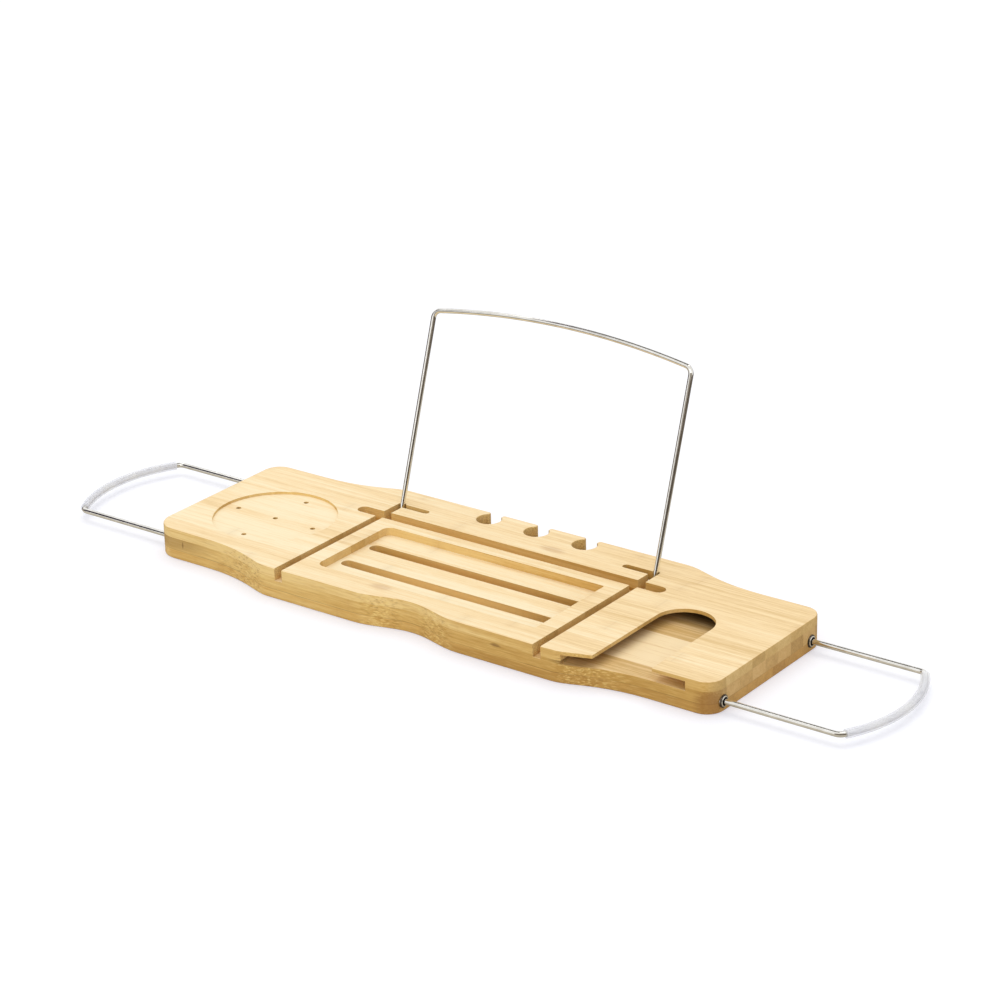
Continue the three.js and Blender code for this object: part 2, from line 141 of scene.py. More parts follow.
def laminated_bamboo(name, face_tones, edge_tones, end_tones, seed, painted_light_bands=(), knots_and_painted_light=(), levels=()):
    """Planed and oiled bamboo strips glued side by side, with the grain along X.

    A strip's number is the floor of y over the strip width, and its tone a random number of that.
    Streaks, fibres and flecks are noise drawn out along X, so that end grain shows them as specks.
    The tone is 0.5 plus each pattern's distance from 0.5 times its sway, plus the drifts.
    Knuckles are thin cross lines, one each knuckle spacing, shifted by the strip's tone.
    The tones for the broad face, the long edges and the end grain are told apart by the object
    normal. painted_light_bands are (from y, to y, shade) in mm: stripes of painted light and shade
    across the face. levels are (z, shade added below it) in mm. knots_and_painted_light are
    (centre, half sizes, strength, colour) with the sizes in mm: each a knot, a brown spot or a
    patch of painted light and shade, which fades out with the distance from its centre over its
    half sizes, and the fibres break its edge over about the ragged edge's width."""
    def build(tree):
        place = add(tree, "TexCoord").outputs
        in_mm = add(tree, "Mapping", {"Vector": place["Object"], "Scale": (1 / mm, 1 / mm, 1 / mm)})
        axis = add(tree, "SeparateXYZ", {"Vector": in_mm}).outputs
        normal = add(tree, "SeparateXYZ", {"Vector": place["Normal"]}).outputs

        def grain(length, width, detail):
            """Noise of the place divided by the length along X and by the width across it."""
            drawn = add(tree, "Mapping", {
                "Vector": in_mm, "Location": (seed, seed, seed),
                "Scale": (1 / length, 1 / width, 1 / width)})
            return add(tree, "TexNoise", {
                "Vector": drawn, "Scale": 1.0, "Detail": detail, "Roughness": 0.6})

        def stepped(operation, start, value, low, high, at_low=0.0, at_high=1.0):
            """The start plus or times a smooth step, at_low below low and at_high above high."""
            step = add(tree, "MapRange", {
                "Value": value, "From Min": low, "From Max": high,
                "To Min": at_low, "To Max": at_high}, interpolation_type="SMOOTHSTEP")
            return add(tree, "Math", {0: start, 1: step}, operation=operation)

        row = add(tree, "Math", {0: axis["Y"], 1: 1 / strip_width, 2: seed * strip_shift},
                  operation="MULTIPLY_ADD")
        strip = add(tree, "Math", {0: row}, operation="FLOOR")
        strip_tone = add(tree, "TexWhiteNoise", {
            "W": add(tree, "Math", {0: strip, 1: seed}, operation="ADD")},
            noise_dimensions="1D").outputs["Value"]
        fibre = grain(fibre_length, fibre_width, 3.0)
        fleck = grain(fleck_length, fleck_width, 2.0)
        streak = grain(streak_length, streak_width, 2.0)
        pore = grain(pore_length, pore_width, 1.0)

        tone = 0.5
        for pattern, sway in ((strip_tone, strip_sway), (streak, streak_sway),
                              (fibre, fibre_sway), (fleck, fleck_sway)):
            apart = add(tree, "Math", {0: pattern, 1: 0.5}, operation="SUBTRACT")
            tone = add(tree, "Math", {0: apart, 1: sway, 2: tone}, operation="MULTIPLY_ADD")
        tone = stepped("ADD", tone, axis["X"], *length_drift)
        tone = stepped("ADD", tone, axis["Y"], *depth_drift)
        for height, shade in levels:
            tone = stepped("ADD", tone, axis["Z"], height - level_blur, height, shade, 0.0)
        face_tone = stepped("ADD", tone, axis["X"], *face_drift)
        # Stripes of painted light and shade across the broad face, each between two y values.
        for low, high, shade in painted_light_bands:
            inside = stepped("MULTIPLY", 1.0, axis["Y"], low - band_blur, low + band_blur)
            inside = stepped("MULTIPLY", inside, axis["Y"],
                             high - band_blur, high + band_blur, 1.0, 0.0)
            face_tone = add(tree, "Math", {0: inside, 1: shade, 2: face_tone},
                            operation="MULTIPLY_ADD")
        edge_tone = stepped("ADD", tone, axis["X"], *edge_drift)

        # End grain shows whole strips as blocks, so that a strip's own tone counts for more there.
        end_tone = add(tree, "Math", {0: tone, 1: end_tone_share}, operation="MULTIPLY")
        end_tone = add(tree, "Math", {0: strip_tone, 1: end_strip_share, 2: end_tone},
                       operation="MULTIPLY_ADD")
        end_tone = add(tree, "Math", {0: end_tone, 1: end_lift}, operation="ADD")
        face = add(tree, "ValToRGB", {"Fac": face_tone}, stops=dict(zip(tone_places, face_tones)))
        edge = add(tree, "ValToRGB", {"Fac": edge_tone}, stops=dict(zip(tone_places, edge_tones)))
        end = add(tree, "ValToRGB", {"Fac": end_tone}, stops=dict(zip(tone_places, end_tones)))

        # A face is end grain where its normal is within about 18 degrees of X, and the broad face
        # within about 26 degrees of Z. It stops being that past 70 and 57 degrees.
        to_end = add(tree, "Math", {0: normal["X"]}, operation="ABSOLUTE")
        to_face = add(tree, "Math", {0: normal["Z"]}, operation="ABSOLUTE")
        is_end = stepped("ADD", 0.0, to_end, 0.35, 0.95)
        is_face = stepped("ADD", 0.0, to_face, 0.55, 0.9)
        not_face = add(tree, "Math", {0: 1.0, 1: is_face}, operation="SUBTRACT")
        sides = add(tree, "Mix", {0: is_end, 6: edge, 7: end}, data_type="RGBA").outputs[2]
        wood = add(tree, "Mix", {0: is_face, 6: sides, 7: face}, data_type="RGBA").outputs[2]

        # Knuckles: a thin brown line with a faint halo, at another place in each strip.
        wavy = add(tree, "Math", {0: streak, 1: knuckle_wobble}, operation="MULTIPLY")
        shifted = add(tree, "Math", {0: strip_tone, 1: knuckle_shift, 2: wavy},
                      operation="MULTIPLY_ADD")
        along = add(tree, "Math", {0: axis["X"], 1: 1 / knuckle_spacing, 2: shifted},
                    operation="MULTIPLY_ADD")
        within = add(tree, "Math", {0: along}, operation="FRACT")
        within = add(tree, "Math", {0: within, 1: 0.5}, operation="SUBTRACT")
        within = add(tree, "Math", {0: within}, operation="ABSOLUTE")
        off_knuckle = add(tree, "Math", {0: within, 1: knuckle_spacing}, operation="MULTIPLY")
        line = stepped("ADD", 0.0, off_knuckle, 0.3, knuckle_half_width, 0.06, 0.0)
        line = stepped("ADD", line, off_knuckle, 1.0, knuckle_halo, 0.07, 0.0)
        wood = add(tree, "Mix", {0: line, 6: wood, 7: linear(knuckle_brown)},
                   data_type="RGBA").outputs[2]

        # Pores and pale flecks: where the outer edges' curves cut the fibres at a slant, and faint
        # on straight edges and towards the corners. Inner walls, near the middle, have none.
        from_middle = add(tree, "Math", {0: axis["Y"], 1: board_middle_y}, operation="SUBTRACT")
        from_middle = add(tree, "Math", {0: from_middle}, operation="ABSOLUTE")
        from_centre = add(tree, "Math", {0: axis["X"]}, operation="ABSOLUTE")
        slanted = stepped("MULTIPLY", not_face, to_end, 0.05, 0.3, 0.35, 1.0)
        slanted = stepped("MULTIPLY", slanted, from_centre, 275.0, 296.0, 1.0, 0.12)
        slanted = stepped("MULTIPLY", slanted, from_middle, 85.0, 91.0)
        open_pore = stepped("MULTIPLY", slanted, pore, 0.54, 0.7, 0.0, 0.42)
        wood = add(tree, "Mix", {0: open_pore, 6: wood, 7: linear(pore_brown)},
                   data_type="RGBA").outputs[2]
        pale_spot = stepped("MULTIPLY", slanted, pore, 0.32, 0.46, 0.6, 0.0)
        wood = add(tree, "Mix", {0: pale_spot, 6: wood, 7: linear(pale_fleck)},
                   data_type="RGBA").outputs[2]

        # The lower glue line, brown and stronger in some stretches than in others.
        off_seam = add(tree, "Math", {0: axis["Z"], 1: seam_height}, operation="SUBTRACT")
        off_seam = add(tree, "Math", {0: off_seam}, operation="ABSOLUTE")
        seam = stepped("MULTIPLY", 1.0, off_seam, 0.1, seam_half_width, 1.0, 0.0)
        seam = stepped("MULTIPLY", seam, grain(seam_patch_length, seam_patch_width, 1.0),
                       0.35, 0.65, 0.1, 0.7)
        seam = add(tree, "Math", {0: seam, 1: not_face}, operation="MULTIPLY")
        wood = add(tree, "Mix", {0: seam, 6: wood, 7: linear(seam_brown)},
                   data_type="RGBA").outputs[2]

        # Knots, stains and patches of painted light and shade, each an ellipsoid whose edge the
        # fibres break.
        broken = add(tree, "Math", {0: fibre, 1: 0.5}, operation="SUBTRACT")
        for centre, half, strength, mark_colour in knots_and_painted_light:
            out = add(tree, "VectorMath", {0: in_mm, 1: centre}, operation="SUBTRACT")
            out = add(tree, "VectorMath", {0: out, 1: half}, operation="DIVIDE")
            reach = add(tree, "VectorMath", {0: out}, operation="LENGTH").outputs["Value"]
            ragged = min(most_ragged, ragged_edge / max(half))
            reach = add(tree, "Math", {0: broken, 1: ragged, 2: reach}, operation="MULTIPLY_ADD")
            mark_share = stepped("ADD", 0.0, reach, 0.35, 1.1, strength, 0.0)
            wood = add(tree, "Mix", {0: mark_share, 6: wood, 7: linear(mark_colour)},
                       data_type="RGBA").outputs[2]

        bump = add(tree, "Bump", {"Height": fibre, "Strength": 0.25, "Distance": fibre_relief})
        return add(tree, "BsdfPrincipled", {
            "Base Color": wood, "Roughness": stepped("ADD", 0.0, fibre, 0.2, 0.8, 0.62, 0.46),
            "Specular IOR Level": 0.3, "Normal": bump})
    return finish_material(name, build)


# Oiled pale bamboo, the planed upper face: straw colour with fine darker fibre lines, and a little
# paler below the level of its top face, as on the floors of the tray and the dish. Each knot, stain
# and patch of painted light and shade says where it is.
pale_bamboo = laminated_bamboo(
    "oiled_pale_bamboo", seed=3.0,
    face_tones=("#E6C48A", "#F9DCA9", "#FEECC4"),
    edge_tones=("#C89C50", "#DAB268", "#EDCC88"),
    end_tones=("#B28D52", "#CDA968", "#E1C185"),
    levels=((30.2, 0.16),),
    knots_and_painted_light=(
        # A small brown knot in front of the tray, and one behind the long groove.
        ((-43.0, -60.5, 31.0), (15.0, 7.0, 3.0), 0.3, "#B07E54"),
        ((38.2, 95.5, 31.0), (17.0, 7.5, 3.0), 0.3, "#B07E54"),
        # Painted light on the long groove's walls, warm, and on the two stand grooves' walls,
        # duller.
        ((0.0, 78.0, 25.0), (200.0, 14.0, 5.5), 0.6, "#F2D08A"),
        ((-148.0, 10.0, 25.0), (12.0, 110.0, 5.5), 0.5, "#D2B376"),
        ((148.0, 10.0, 25.0), (12.0, 110.0, 5.5), 0.5, "#D2B376"),
        # Painted shade on the underside of the skin over the back of the glass pocket.
        ((232.0, 74.0, 24.5), (70.0, 50.0, 3.5), 0.9, "#3A2410")))
# Oiled honey bamboo, the core: warmer strips. Stripes of painted light and shade lie across the
# glass pocket's floor: pale where light falls in through the slot, darker under the skin. The
# pocket's side and back carry painted shade under the skin, and the drain slots' walls painted
# light.
honey_bamboo = laminated_bamboo(
    "oiled_honey_bamboo", seed=11.0,
    face_tones=("#CFA866", "#E9C78E", "#FBE2B4"),
    edge_tones=("#C09449", "#D7AE62", "#E7C47C"),
    end_tones=("#B08A50", "#CEA769", "#DFBC82"),
    painted_light_bands=((-90.0, -42.2, -0.06), (-42.2, 18.8, 0.36), (18.8, 62.0, -0.2)),
    knots_and_painted_light=(
        # Painted light on the walls of the drain slots, palest in the middle.
        ((-2.0, 6.0, 15.0), (150.0, 58.0, 16.0), 0.7, "#F2C67C"),
        ((-2.0, -20.0, 15.0), (150.0, 18.0, 18.0), 0.8, "#FFDD96"),
        # The front edge: browned at its left end, with a dark knot right of the scallop and a
        # narrow dark nick by the left corner.
        ((-300.0, -60.0, 19.0), (60.0, 70.0, 12.0), 0.55, "#9A7234"),
        ((103.0, -83.2, 19.6), (7.0, 6.0, 2.2), 0.6, "#6E4A1F"),
        ((-283.0, -65.2, 16.5), (1.1, 4.0, 4.5), 0.6, "#6E4A1F"),
        # The right front corner, browner where the front edge turns into the end grain.
        ((314.0, -62.0, 12.0), (17.0, 17.0, 14.0), 0.6, "#8F5E26"),
        # Painted shade on the glass pocket's left side and its back, under the skin.
        ((184.0, -10.0, 21.5), (30.0, 150.0, 5.0), 0.85, "#5A3A18"),
        ((232.0, 80.0, 21.0), (70.0, 46.0, 6.0), 0.9, "#3A2410")))
# Oiled dark bamboo, the bottom ply: heat treated a little longer, so that it is browner. The brown
# of the right front corner runs down into it.
dark_bamboo = laminated_bamboo(
    "oiled_dark_bamboo", seed=23.0,
    face_tones=("#B98A48", "#D0A462", "#E2BC7C"),
    edge_tones=("#BD9048", "#D7AC5F", "#E8C47C"),
    end_tones=("#AC8045", "#C99D58", "#DAB372"),
    knots_and_painted_light=(((314.0, -62.0, 8.0), (17.0, 17.0, 14.0), 0.5, "#8F5E26"),))


def finished_ply(node, piece_name, material):
    """The CAD ply's own faces, merged where their corners meet. Its free convex edges are eased:
    each is cut back by the eased edge's width and rounded in a few steps."""
    made = bmesh.new()
    made.from_mesh(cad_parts[node].data)
    bmesh.ops.remove_doubles(made, verts=made.verts, dist=weld_distance)
    weight = made.edges.layers.float.new("bevel_weight_edge")
    for edge in made.edges:
        edge.smooth = edge.calc_face_angle(0.0) < sharp_angle
        if edge.smooth or not edge.is_convex:
            continue
        levels = [vert.co.z for vert in edge.verts]
        glued = any(all(abs(z - plane) < same_level for z in levels) for plane in glue_planes)
        edge[weight] = 0.0 if glued else 1.0
    for face in made.faces:
        face.smooth = True
    mesh = bpy.data.meshes.new(piece_name)
    made.to_mesh(mesh)
    made.free()
    if "custom_normal" in mesh.attributes:
        mesh.attributes.remove(mesh.attributes["custom_normal"])
    piece = bpy.data.objects.new(piece_name, mesh)
    bpy.context.scene.collection.objects.link(piece)
    bevel = piece.modifiers.new("eased edges", "BEVEL")
    bevel.width = eased_edge
    bevel.segments = eased_steps
    bevel.limit_method = "WEIGHT"
    bevel.use_clamp_overlap = True
    evened = piece.modifiers.new("even shading", "WEIGHTED_NORMAL")
    evened.keep_sharp = True
    mesh.materials.append(material)
    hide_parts(node)
    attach(piece, "board")


finished_ply("bottom_ply", "bottom_ply_sanded", dark_bamboo)
finished_ply("core_ply", "core_ply_sanded", honey_bamboo)
finished_ply("top_ply_frame", "top_ply_frame_sanded", pale_bamboo)
finished_ply("top_ply_tray_panel", "tray_panel_sanded", pale_bamboo)

# Rails. Each end of the board carries one bent wire loop of chromed steel, 5.2 mm thick, whose two
# legs slide in bores between the plies. The bow joins them in two small bends.
board_end = 320 * mm
part_shift_y = board_middle_y * mm
rail_radius = 2.6 * mm
rail_height = 10 * mm
rail_half_spacing = 72.3 * mm
rail_offset = 3.2 * mm
rail_apex = 457 * mm
rail_bow_radius = 130 * mm
rail_bend_radius = 8 * mm
rail_hidden = 95 * mm
wire_sides = 28
bend_steps = 14
bow_steps = 72
leg_steps = 12
wire_end_round = 0.5 * mm
wire_end_steps = 5
chrome_haze_patch = 9 * mm
quarter = math.pi / 2

# The lines that the drawing die leaves in a wire are under 0.1 mm wide, which is too fine to show:
# they are drawn twelve times as wide, as a faint ripple.
draw_mark_width = 1.2 * mm
draw_mark_depth = 0.02 * mm


def polished_chrome(tree):
    """Bright chrome plate: a mirror with a faint haze that comes and goes along the wire."""
    place = add(tree, "TexCoord").outputs["Object"]
    haze = add(tree, "TexNoise", {"Vector": place, "Scale": 1 / chrome_haze_patch, "Detail": 3.0})
    drawn = add(tree, "TexNoise", {"Vector": place, "Scale": 1 / draw_mark_width, "Detail": 1.0})
    tint = add(tree, "ValToRGB", {"Fac": haze}, stops={
        0.25: "#DCD9D2", 0.5: "#E8E6E0", 0.75: "#F4F2EE"})
    rough = add(tree, "MapRange", {
        "Value": haze, "From Min": 0.3, "From Max": 0.7, "To Min": 0.05, "To Max": 0.12})
    bump = add(tree, "Bump", {"Height": drawn, "Strength": 0.08, "Distance": draw_mark_depth})
    return add(tree, "BsdfPrincipled", {
        "Base Color": tint, "Metallic": 1.0, "Roughness": rough, "Normal": bump})


# Chrome plate on bent steel wire: mirror bright, with dark lines where the room is dark.
chrome_plate = finish_material("bright_chrome_plate", polished_chrome)


def arc(centre_u, centre_v, radius, start, end, steps):
    """Points on a circle: centre plus radius times (cosine, sine) of evenly spaced angles."""
    turn = np.linspace(start, end, steps + 1)
    return np.stack([centre_u + radius * np.cos(turn), centre_v + radius * np.sin(turn)], 1)


def bow_shape(half_spacing, apex, bow_radius, bend_radius):
    """Where the bow's arc meets the leg bends: both circles touch, so their centres are the
    difference of their radii apart, and the bend's centre is one bend radius inside the leg."""
    centre = apex - bow_radius
    across = half_spacing - bend_radius
    along = centre + math.sqrt((bow_radius - bend_radius) ** 2 - across ** 2)
    return centre, across, along, math.atan2(across, along - centre)


def bow_line(half_spacing, apex, bow_radius, bend_radius):
    """A bend, the bow's arc and a second bend, as points (along the legs, across them)."""
    centre, across, along, turn = bow_shape(half_spacing, apex, bow_radius, bend_radius)
    return np.vstack([
        arc(along, -across, bend_radius, -quarter, -turn, bend_steps),
        arc(centre, 0.0, bow_radius, -turn, turn, bow_steps)[1:-1],
        arc(along, across, bend_radius, turn, quarter, bend_steps)])


def new_piece(name, corners, faces, material):
    """A mesh object at the origin, smooth shaded, from its corners and faces."""
    mesh = bpy.data.meshes.new(name)
    mesh.from_pydata(corners.tolist(), [], faces)
    mesh.validate()
    mesh.shade_smooth()
    mesh.set_sharp_from_angle(angle=sharp_angle)
    mesh.materials.append(material)
    piece = bpy.data.objects.new(name, mesh)
    bpy.context.scene.collection.objects.link(piece)
    return piece


def grid_faces(rows, columns, closed_rows=False):
    """Quads between neighbouring rings of a grid whose columns close on themselves."""
    last = rows if closed_rows else rows - 1
    row = np.arange(last)[:, None]
    column = np.arange(columns)[None, :]
    after, beside = (row + 1) % rows, (column + 1) % columns
    quads = np.stack([row * columns + column, row * columns + beside,
                      after * columns + beside, after * columns + column], -1)
    return quads.reshape(-1, 4).tolist()


def headings_along(path):
    """Unit direction at each point of a path: that of the sum of the two unit steps that meet
    there, and of the one step at each end."""
    step = np.diff(path, axis=0)
    step /= np.linalg.norm(step, axis=1)[:, None]
    heading = np.vstack([step[:1], step[:-1] + step[1:], step[-1:]])
    heading /= np.linalg.norm(heading, axis=1)[:, None]
    return heading


def unit_rings(heading, up):
    """Circles of radius 1 round a flat path: the cosine of the angle times the side vector, which
    is the path's direction crossed with its plane's normal, plus the sine times the normal."""
    side = np.cross(heading, up)
    turn = np.arange(wire_sides) * 2 * math.pi / wire_sides
    return np.cos(turn)[None, :, None] * side[:, None, :] + np.sin(turn)[None, :, None] * up


def swept_wire(name, path, flat_normal, radius, material):
    """A round wire along a flat path: each ring is the path's point plus the radius times the unit
    ring. At each end the rings shrink on a quarter circle: they are set in by the rounding times
    (1 - cosine) and slimmed by the rounding times (1 - sine). A flat fan closes each end."""
    heading = headings_along(path)
    ease = np.linspace(0.0, quarter, wire_end_steps)
    set_in = (wire_end_round * (1 - np.cos(ease)))[:, None]
    slimmed = radius - wire_end_round * (1 - np.sin(ease))
    places = np.vstack([path[0] + heading[0] * set_in, path[1:-1],
                        (path[-1] - heading[-1] * set_in)[::-1]])
    sizes = np.r_[slimmed, np.full(len(path) - 2, radius), slimmed[::-1]]
    headings = np.vstack([np.repeat(heading[:1], wire_end_steps, 0), heading[1:-1],
                          np.repeat(heading[-1:], wire_end_steps, 0)])
    circles = unit_rings(headings, np.array(flat_normal, float))
    rings = places[:, None, :] + sizes[:, None, None] * circles
    count = len(places)
    faces = grid_faces(count, wire_sides)
    faces.append(list(range(wire_sides))[::-1])
    faces.append(list(range((count - 1) * wire_sides, count * wire_sides)))
    return new_piece(name, rings.reshape(-1, 3), faces, material)


def rail_points(sign, flat):
    """Plan points (along, across) placed at an end of the board: sign is -1 left and 1 right."""
    return np.stack([sign * flat[:, 0], flat[:, 1] - sign * rail_offset + part_shift_y,
                     np.full(len(flat), rail_height)], 1)


def spaced(start, end, steps):
    """Evenly spaced points on a straight line, both ends included."""
    return np.linspace(start, end, steps + 1)


sides_of_board = (("left", -1), ("right", 1))
bow = bow_line(rail_half_spacing, rail_apex, rail_bow_radius, rail_bend_radius)
inner_end = board_end - rail_hidden
rail_plan = np.vstack([
    spaced((inner_end, -rail_half_spacing), bow[0], leg_steps)[:-1], bow,
    spaced(bow[-1], (inner_end, rail_half_spacing), leg_steps)[1:]])
for word, sign in sides_of_board:
    rail = swept_wire(f"{word}_rail_wire", rail_points(sign, rail_plan), (0, 0, 1),
                      rail_radius, chrome_plate)
    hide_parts(f"{word}_rail")
    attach(rail, f"{word}_slide_rail")

# Sleeves. A clear soft vinyl tube is pushed over each bow, so that the rail grips the edge of the
# bath and doesn't scratch it. It is cut square at both ends and covers all but the bow's last bit.
sleeve_outer = 4.2 * mm
sleeve_inner = 2.85 * mm
sleeve_share = 0.985
vinyl_cloud = 30 * mm


def clear_tube(tree):
    """Clear vinyl: see-through by one minus its milkiness, which noise the size of its clouds moves
    from 0.36 to 0.44, and faintly violet where it is clearest."""
    place = add(tree, "TexCoord").outputs["Object"]
    cloud = add(tree, "TexNoise", {"Vector": place, "Scale": 1 / vinyl_cloud, "Detail": 1.0})
    milk = add(tree, "MapRange", {
        "Value": cloud, "From Min": 0.3, "From Max": 0.7, "To Min": 0.36, "To Max": 0.44})
    tint = add(tree, "ValToRGB", {"Fac": cloud}, stops={
        0.3: "#EFF1FC", 0.5: "#F8F9FF", 0.7: "#FFFFFF"})
    return add(tree, "BsdfPrincipled", {
        "Base Color": tint, "Roughness": 0.3, "Specular IOR Level": 0.5, "Alpha": milk})


# Clear plasticised vinyl, extruded: milky and soft, with the wire showing through.
clear_vinyl = finish_material("clear_vinyl_tube", clear_tube)


def swept_tube(name, path, flat_normal, inner_radius, outer_radius, material):
    """A tube along a flat path: rings at the outer radius run out along it and rings at the inner
    radius run back, each the path's point plus the radius times the unit ring."""
    ring = unit_rings(headings_along(path), np.array(flat_normal, float))
    outer = path[:, None, :] + outer_radius * ring
    inner = path[:, None, :] + inner_radius * ring
    loops = np.concatenate([outer, inner[::-1]])
    faces = grid_faces(len(loops), wire_sides, closed_rows=True)
    return new_piece(name, loops.reshape(-1, 3), faces, material)


bow_centre, _, _, bow_turn = bow_shape(
    rail_half_spacing, rail_apex, rail_bow_radius, rail_bend_radius)
sleeve_turn = bow_turn * sleeve_share
sleeve_line = arc(bow_centre, 0.0, rail_bow_radius, -sleeve_turn, sleeve_turn, bow_steps)
for word, sign in sides_of_board:
    sleeve = swept_tube(f"{word}_bow_sleeve", rail_points(sign, sleeve_line), (0, 0, 1),
                        sleeve_inner, sleeve_outer, clear_vinyl)
    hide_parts(f"{word}_rail_sleeve")
    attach(sleeve, f"{word}_slide_rail")

# Ferrules. A chromed eyelet lines each of the four bore mouths, so that the wire doesn't wear the
# bamboo. Its barrel is pressed into the end grain up to a thin flange with a raised ring.
ferrule_bore = 2.7 * mm
ferrule_barrel = 5.3 * mm
ferrule_depth = 10 * mm
ferrule_flange = 6 * mm
ferrule_flange_height = 1.1 * mm
ferrule_ring = 4.9 * mm
ferrule_ring_height = 1.9 * mm
ferrule_mouth = 4.1 * mm
ferrule_mouth_depth = 2 * mm
ferrule_round = 0.4 * mm
turned_sides = 48
round_steps = 5
mouth_fleck_patch = 1.5 * mm
flange_mottle_patch = 2 * mm


def rounded(radius, out, reach):
    """Quarter circle from a vertical wall into a level rim: its centre is one rounding inside."""
    return arc(radius - reach, out - reach, reach, 0.0, quarter, round_steps)


def turned(name, profile, sign, across, material):
    """A closed profile (radius, distance out of the board's end) turned once round the bore's line:
    x is the distance out, y the radius times the cosine of the angle, and z the radius times its
    sine. The left end, of sign -1, takes x and z the other way, which keeps the faces outwards."""
    turn = np.arange(turned_sides) * 2 * math.pi / turned_sides
    radius, out = profile[:, 0][:, None], profile[:, 1][:, None]
    wide = np.ones_like(turn)[None, :]
    corners = np.stack([sign * (board_end + out * wide), across + radius * np.cos(turn)[None, :],
                        rail_height + sign * radius * np.sin(turn)[None, :]], -1)
    faces = grid_faces(len(profile), turned_sides, closed_rows=True)
    return new_piece(name, corners.reshape(-1, 3), faces, material)


ferrule_profile = np.vstack([
    [(ferrule_bore, -ferrule_depth), (ferrule_barrel, -ferrule_depth), (ferrule_barrel, 0.0),
     (ferrule_flange, 0.0)],
    rounded(ferrule_flange, ferrule_flange_height, ferrule_round),
    [(ferrule_ring, ferrule_flange_height)],
    rounded(ferrule_ring, ferrule_ring_height, ferrule_round),
    [(ferrule_mouth, ferrule_ring_height),
     (ferrule_bore, ferrule_ring_height - ferrule_mouth_depth)]])

# Rows of faces, counted along the profile: the flange's from its outer corner to the ring's foot,
# and the mouth's, which are the last.
flange_first_row = 3
flange_rows = round_steps + 2
mouth_rows = 2


def mouth_shade_surface(tree):
    """Painted shade inside the eyelet's mouth: near-black steel with faint brown flecks."""
    place = add(tree, "TexCoord").outputs["Object"]
    mouth_flecks = add(tree, "TexNoise", {"Vector": place, "Scale": 1 / mouth_fleck_patch, "Detail": 2.0})
    tint = add(tree, "ValToRGB", {"Fac": mouth_flecks}, stops={
        0.3: "#0E0B09", 0.55: "#17120E", 0.75: "#2A1D13"})
    return add(tree, "BsdfPrincipled", {
        "Base Color": tint, "Roughness": 0.7, "Specular IOR Level": 0.2})


# Painted shade: near-black steel, so that the mouth reads as a dark hole round the wire.
mouth_painted_shade = finish_material("eyelet_mouth_painted_shade", mouth_shade_surface)


def flange_shade_surface(tree):
    """The plated flange round the ring, darkened with painted shade, as of the gap between flange
    and wood.
    """
    place = add(tree, "TexCoord").outputs["Object"]
    flange_mottle = add(tree, "TexNoise", {"Vector": place, "Scale": 1 / flange_mottle_patch, "Detail": 2.0})
    tint = add(tree, "ValToRGB", {"Fac": flange_mottle}, stops={
        0.3: "#3A342E", 0.5: "#5A5249", 0.75: "#8A8177"})
    return add(tree, "BsdfPrincipled", {"Base Color": tint, "Metallic": 1.0, "Roughness": 0.4})


# Chrome plate darkened with painted shade: a dark rim that sets the bright ring off from the wood.
flange_shade_chrome = finish_material("flange_painted_shade_chrome", flange_shade_surface)

legs = (("front", -1), ("back", 1))
for word, sign in sides_of_board:
    for leg, leg_sign in legs:
        leg_y = leg_sign * rail_half_spacing - sign * rail_offset + part_shift_y
        ferrule = turned(f"{word}_{leg}_eyelet", ferrule_profile, sign, leg_y, chrome_plate)
        ferrule.data.materials.append(mouth_painted_shade)
        ferrule.data.materials.append(flange_shade_chrome)
        row = np.arange(len(ferrule.data.polygons)) // turned_sides
        in_mouth = row >= len(ferrule_profile) - mouth_rows
        on_flange = (row >= flange_first_row) & (row < flange_first_row + flange_rows)
        ferrule.data.polygons.foreach_set(
            "material_index", np.select([in_mouth, on_flange], [1, 2]).astype(np.int32))
        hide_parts(f"ferrule_{word}_{leg}")
        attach(ferrule, "board")

# Stop collars. A turned steel ring is crimped on each hidden leg behind its ferrule, and keeps the
# rail from being pulled out of the board. The CAD rings are plain enough to keep.
grime_patch = 3 * mm

# A lathe tool leaves a ring at each 0.2 mm or so, which is too fine to show: the rings are drawn
# 5 mm apart, which is 2 pi times the length below. Blender's wave turns 20 radians in each unit.
tool_ring_radian = 0.8 * mm
wave_turn = 20
tool_ring_depth = 0.03 * mm


def turned_steel(tree):
    """Plain turned steel: grey, with rings round the bore from the lathe tool."""
    place = add(tree, "TexCoord").outputs["Object"]
    rings = add(tree, "TexWave", {
        "Vector": place, "Scale": 1 / tool_ring_radian / wave_turn, "Distortion": 0.4},
        bands_direction="X").outputs["Fac"]
    grime = add(tree, "TexNoise", {"Vector": place, "Scale": 1 / grime_patch, "Detail": 3.0})
    tint = add(tree, "ValToRGB", {"Fac": grime}, stops={
        0.3: "#85827D", 0.5: "#9D9A95", 0.7: "#B2AFAA"})
    bump = add(tree, "Bump", {"Height": rings, "Strength": 0.3, "Distance": tool_ring_depth})
    return add(tree, "BsdfPrincipled", {
        "Base Color": tint, "Metallic": 1.0, "Roughness": 0.38, "Normal": bump})


# Lathe turned mild steel: dull grey, with the tool's rings.
lathe_turned_steel = finish_material("turned_mild_steel", turned_steel)
for word, _ in sides_of_board:
    for leg, _ in legs:
        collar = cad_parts[f"stop_collar_{word}_{leg}"]
        collar.data.materials.clear()
        collar.data.materials.append(lathe_turned_steel)

